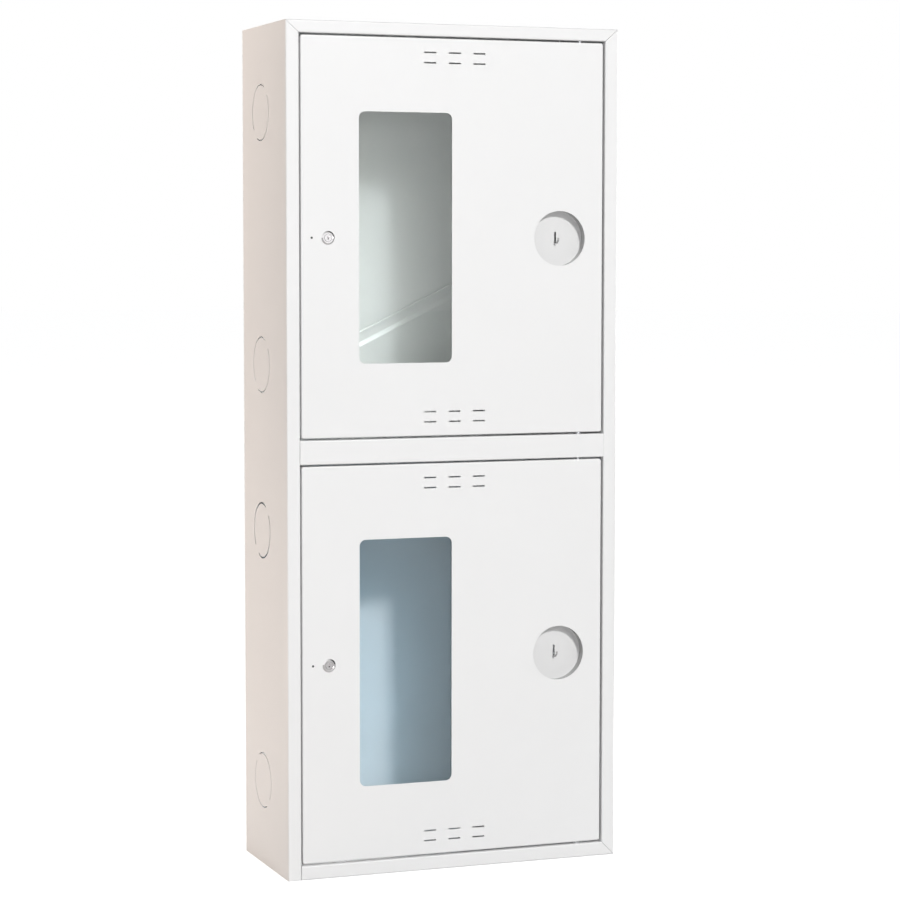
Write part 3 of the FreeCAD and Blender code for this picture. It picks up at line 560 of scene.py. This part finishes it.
class CABINET_OT_weld_doors(bpy.types.Operator):
    """Welds hinge angles and key niches to the door skins"""
    bl_idname = "cabinet.weld_doors"
    bl_label = "Weld Doors"

    def execute(self, context):
        settings = context.scene.cabinet_weld
        coat = material_named("white_powder_coat")
        for number, door in enumerate(DOORS):
            angles = Beads(door + "_hinge_weld_beads", door + "_door", settings, 21 + number)
            foot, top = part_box(door + "_hinge_brackets")
            y = (foot[1] + top[1]) / 2
            for z, up in ((foot[2], Z), (top[2], -Z)):
                for x, out in ((foot[0], -X), (top[0], X)):
                    angles.corner((x, y, z), Y, out, up, leg=0.5, length=0.5)
            angles.finish(coat)

            spots = Beads(door + "_niche_spot_welds", door + "_door", settings, 31 + number)
            foot, top = (np.array(c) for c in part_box(door + "_key_niche"))
            middle = (foot + top) / 2
            reach = (top[0] - foot[0]) / 2 - settings.spot * 0.9    # just inside the rim's edge
            for turn in spread(0.0, 2 * math.pi, NICHE_SPOTS):
                place = middle + reach * (math.cos(turn) * X + math.sin(turn) * Z)
                place[1] = foot[1] + SHEET              # the back of the niche's rim
                spots.crown(place, Y, settings.spot)
            spots.finish(coat)
        return {"FINISHED"}


class CABINET_OT_weld_cassette(bpy.types.Operator):
    """Welds the cassette's trough to its back, end and hinge plates"""
    bl_idname = "cabinet.weld_cassette"
    bl_label = "Weld Cassette"

    def execute(self, context):
        settings = context.scene.cabinet_weld
        trough_low, trough_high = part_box("cassette_trough")
        floor = trough_low[2] + SHEET
        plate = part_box("cassette_back_plate")[0][1]
        joints = Beads("cassette_weld_beads", "hose_cassette", settings, 41)
        for y in spread(trough_low[1], trough_high[1], SIDE_TACKS):
            joints.corner((trough_low[0], y, floor), Y, X, Z, leg=0.8)
            joints.corner((trough_high[0], y, floor), Y, -X, Z, leg=0.8)
        for x in spread(trough_low[0], trough_high[0], PLATE_TACKS):
            joints.corner((x, plate, trough_low[2] + TROUGH_LEG), X, -Y, Z, leg=0.5)
        joints.corner((trough_low[0], plate, trough_high[2] - END_SEAM_DROP), Z, X, -Y, leg=0.7)
        joints.finish(material_named("white_powder_coat"))
        return {"FINISHED"}


# ---- stage ------------------------------------------------------------------------------------
DARK_ROOM = 0.05            # what glossy faces see overhead and behind
ROOM_EDGE, ROOM_FRONT = -0.45, -0.8     # Y of the directions where the white front sets in
SKY = (0.98, 0.99, 1.0)
PAPER = (0.55, 0.55, 0.55)
PAPER_LIFT = 0.84           # takes lit paper to white
FLOOR_RADIUS = 40.0
FLOOR_POINTS = 96
FLOOR_GAP = 0.0005          # between the floor and the cabinet's foot

SUNNY, WARM = (1.0, 0.995, 0.985), (1.0, 0.85, 0.74)
HALF_HEIGHT = CAD_BOX[1][2] / 2
FRONT_FACE = (0.0, CAD_BOX[0][1], HALF_HEIGHT)
LEFT_FACE, RIGHT_FACE = ((CAD_BOX[side][0], 0.0, HALF_HEIGHT) for side in (0, 1))

# name, setting of its power, share of that, place, aim, edge in metres, colour
LAMPS = (
    ("key_lamp", "key_power", 1.0, (0.8, -8.0, 5.0), FRONT_FACE, 0.9, SUNNY),
    ("front_fill", "front_power", 1.0, (-1.55, -4.1, 0.8), FRONT_FACE, 0.9, WHITE),
    ("side_fill_high", "side_power", 1.0, (-1.2, 0.75, 1.75), LEFT_FACE, 0.6, WARM),
    ("side_fill_low", "side_power", 0.6, (-1.2, 0.75, 0.2), LEFT_FACE, 0.6, WARM),
    ("right_fill", "right_power", 1.0, (1.5, 0.75, 1.0), RIGHT_FACE, 0.9, WHITE),
    ("gloss_lamp", "gloss_power", 1.0, (0.9, -4.4, 3.1), FRONT_FACE, 1.2, WHITE),
)


def area_lamp(name, power, place, aim, edge, colour):
    """A square lamp at its place that faces its aim."""
    data = bpy.data.lights.new(name, "AREA")
    data.shape = "SQUARE"
    data.size = edge
    data.energy = power
    data.color = colour
    lamp = bpy.data.objects.new(name, data)
    lamp.location = place
    lamp.visible_transmission = False       # a pane passes a lamp by its lamp tint alone
    heading = np.array(aim, float) - np.array(place, float)
    flat = math.hypot(heading[0], heading[1])
    lamp.rotation_euler = (math.pi / 2 + math.atan2(heading[2], flat), 0,
                           -math.atan2(heading[0], heading[1]))
    bpy.context.scene.collection.objects.link(lamp)
    return lamp


class CABINET_OT_set_stage(bpy.types.Operator):
    """Sets floor, world, lamps and camera"""
    bl_idname = "cabinet.set_stage"
    bl_label = "Set Stage"

    def execute(self, context):
        scene, settings = context.scene, context.scene.cabinet_stage
        self.floor()
        self.world(scene, settings)
        lamps = {name: area_lamp(name, getattr(settings, setting) * share, *rest)
                 for name, setting, share, *rest in LAMPS}
        lamps["gloss_lamp"].visible_diffuse = False
        self.camera(scene, settings)
        scene.view_settings.view_transform = "Standard"
        return {"FINISHED"}

    def camera(self, scene, settings):
        data = bpy.data.cameras.new("camera")
        data.lens = settings.lens
        data.clip_end = 100.0
        camera = bpy.data.objects.new("camera", data)
        camera.location = settings.stand
        camera.rotation_euler = settings.heading
        scene.collection.objects.link(camera)
        scene.camera = camera

    def floor(self):
        """A wide grey disc, lifted to white where the camera sees it lit, straight or through
        a pane."""
        paper = Shader("stage_paper", PAPER, Roughness=0.9, Specular_IOR_Level=0.1)
        lift = paper.node("Emission", Color=(*WHITE, 1), Strength=PAPER_LIFT)
        lifted = paper.node("AddShader")
        paper.feed(lifted.inputs[0], paper.surface.outputs["BSDF"])
        paper.feed(lifted.inputs[1], lift.outputs["Emission"])
        path = paper.node("LightPath").outputs
        seen = paper.reckoned("MAXIMUM", path["Is Camera Ray"], path["Is Transmission Ray"])
        paper.feed(paper.output.inputs["Surface"], paper.chosen(seen, paper.surface, lifted))
        turn = np.linspace(0.0, 2 * math.pi, FLOOR_POINTS, endpoint=False)
        rim = np.stack([np.cos(turn), np.sin(turn), np.zeros_like(turn)], axis=-1) * FLOOR_RADIUS
        rim[:, 2] = CAD_BOX[0][2] - FLOOR_GAP
        mesh = bpy.data.meshes.new("stage_floor")
        mesh.from_pydata(rim.tolist(), [], [list(range(FLOOR_POINTS))])
        mesh.materials.append(paper.material)
        floor = bpy.data.objects.new("stage_floor", mesh)
        bpy.context.scene.collection.objects.link(floor)

    def world(self, scene, settings):
        """Even grey light for the object and white for what the camera and glass see. Glossy
        faces see a room that is white in front and dark overhead and behind."""
        studio = bpy.data.worlds.new("studio")
        studio.use_nodes = True
        studio.node_tree.nodes.clear()
        scene.world = studio
        room = Nodes(studio.node_tree)
        path = room.node("LightPath").outputs
        direction = room.node("TexCoord").outputs["Generated"]
        towards = room.node("SeparateXYZ", Vector=direction).outputs["Y"]
        front = room.ranged(towards, 0.0, 1.0, ROOM_EDGE, ROOM_FRONT)
        seen = room.reckoned("MULTIPLY", path["Is Glossy Ray"], front)
        for ray in ("Is Camera Ray", "Is Transmission Ray"):
            seen = room.reckoned("MAXIMUM", seen, path[ray])
        level = room.ranged(path["Is Glossy Ray"], settings.ambient, DARK_ROOM, start=0.0,
                            end=1.0)
        light = room.node("Background", Color=(*SKY, 1), Strength=level)
        white = room.node("Background", Color=(*WHITE, 1), Strength=1.0)
        output = room.node("OutputWorld")
        room.feed(output.inputs["Surface"], room.chosen(seen, light, white))


# ---- panel and registration -------------------------------------------------------------------
STEPS = (CABINET_OT_coat_sheets, CABINET_OT_plate_hardware, CABINET_OT_chrome_locks,
         CABINET_OT_glaze_doors, CABINET_OT_weld_casing, CABINET_OT_weld_doors,
         CABINET_OT_weld_cassette, CABINET_OT_set_stage)
SETTINGS = {"cabinet_coat": CoatSettings, "cabinet_metal": MetalSettings,
            "cabinet_glazing": GlazingSettings, "cabinet_weld": WeldSettings,
            "cabinet_stage": StageSettings}


class CABINET_PT_tools(bpy.types.Panel):
    """Settings and steps of the cabinet"""
    bl_idname = "CABINET_PT_tools"
    bl_label = "Standpipe Cabinet"
    bl_space_type = "VIEW_3D"
    bl_region_type = "UI"
    bl_category = "Cabinet"

    def draw(self, context):
        for name, group in SETTINGS.items():
            box = self.layout.box()
            for field in group.__annotations__:
                box.prop(getattr(context.scene, name), field)
        for step in STEPS:
            self.layout.operator(step.bl_idname)


def register():
    for group in (*SETTINGS.values(), *STEPS, CABINET_PT_tools):
        bpy.utils.register_class(group)
    for name, group in SETTINGS.items():
        setattr(bpy.types.Scene, name, bpy.props.PointerProperty(type=group))


def unregister():
    for name in SETTINGS:
        delattr(bpy.types.Scene, name)
    for group in (CABINET_PT_tools, *reversed(STEPS), *reversed(SETTINGS.values())):
        bpy.utils.unregister_class(group)


def main():
    register()
    for step in STEPS:
        category, name = step.bl_idname.split(".")
        getattr(getattr(bpy.ops, category), name)()


if __name__ == "__main__":
    main()
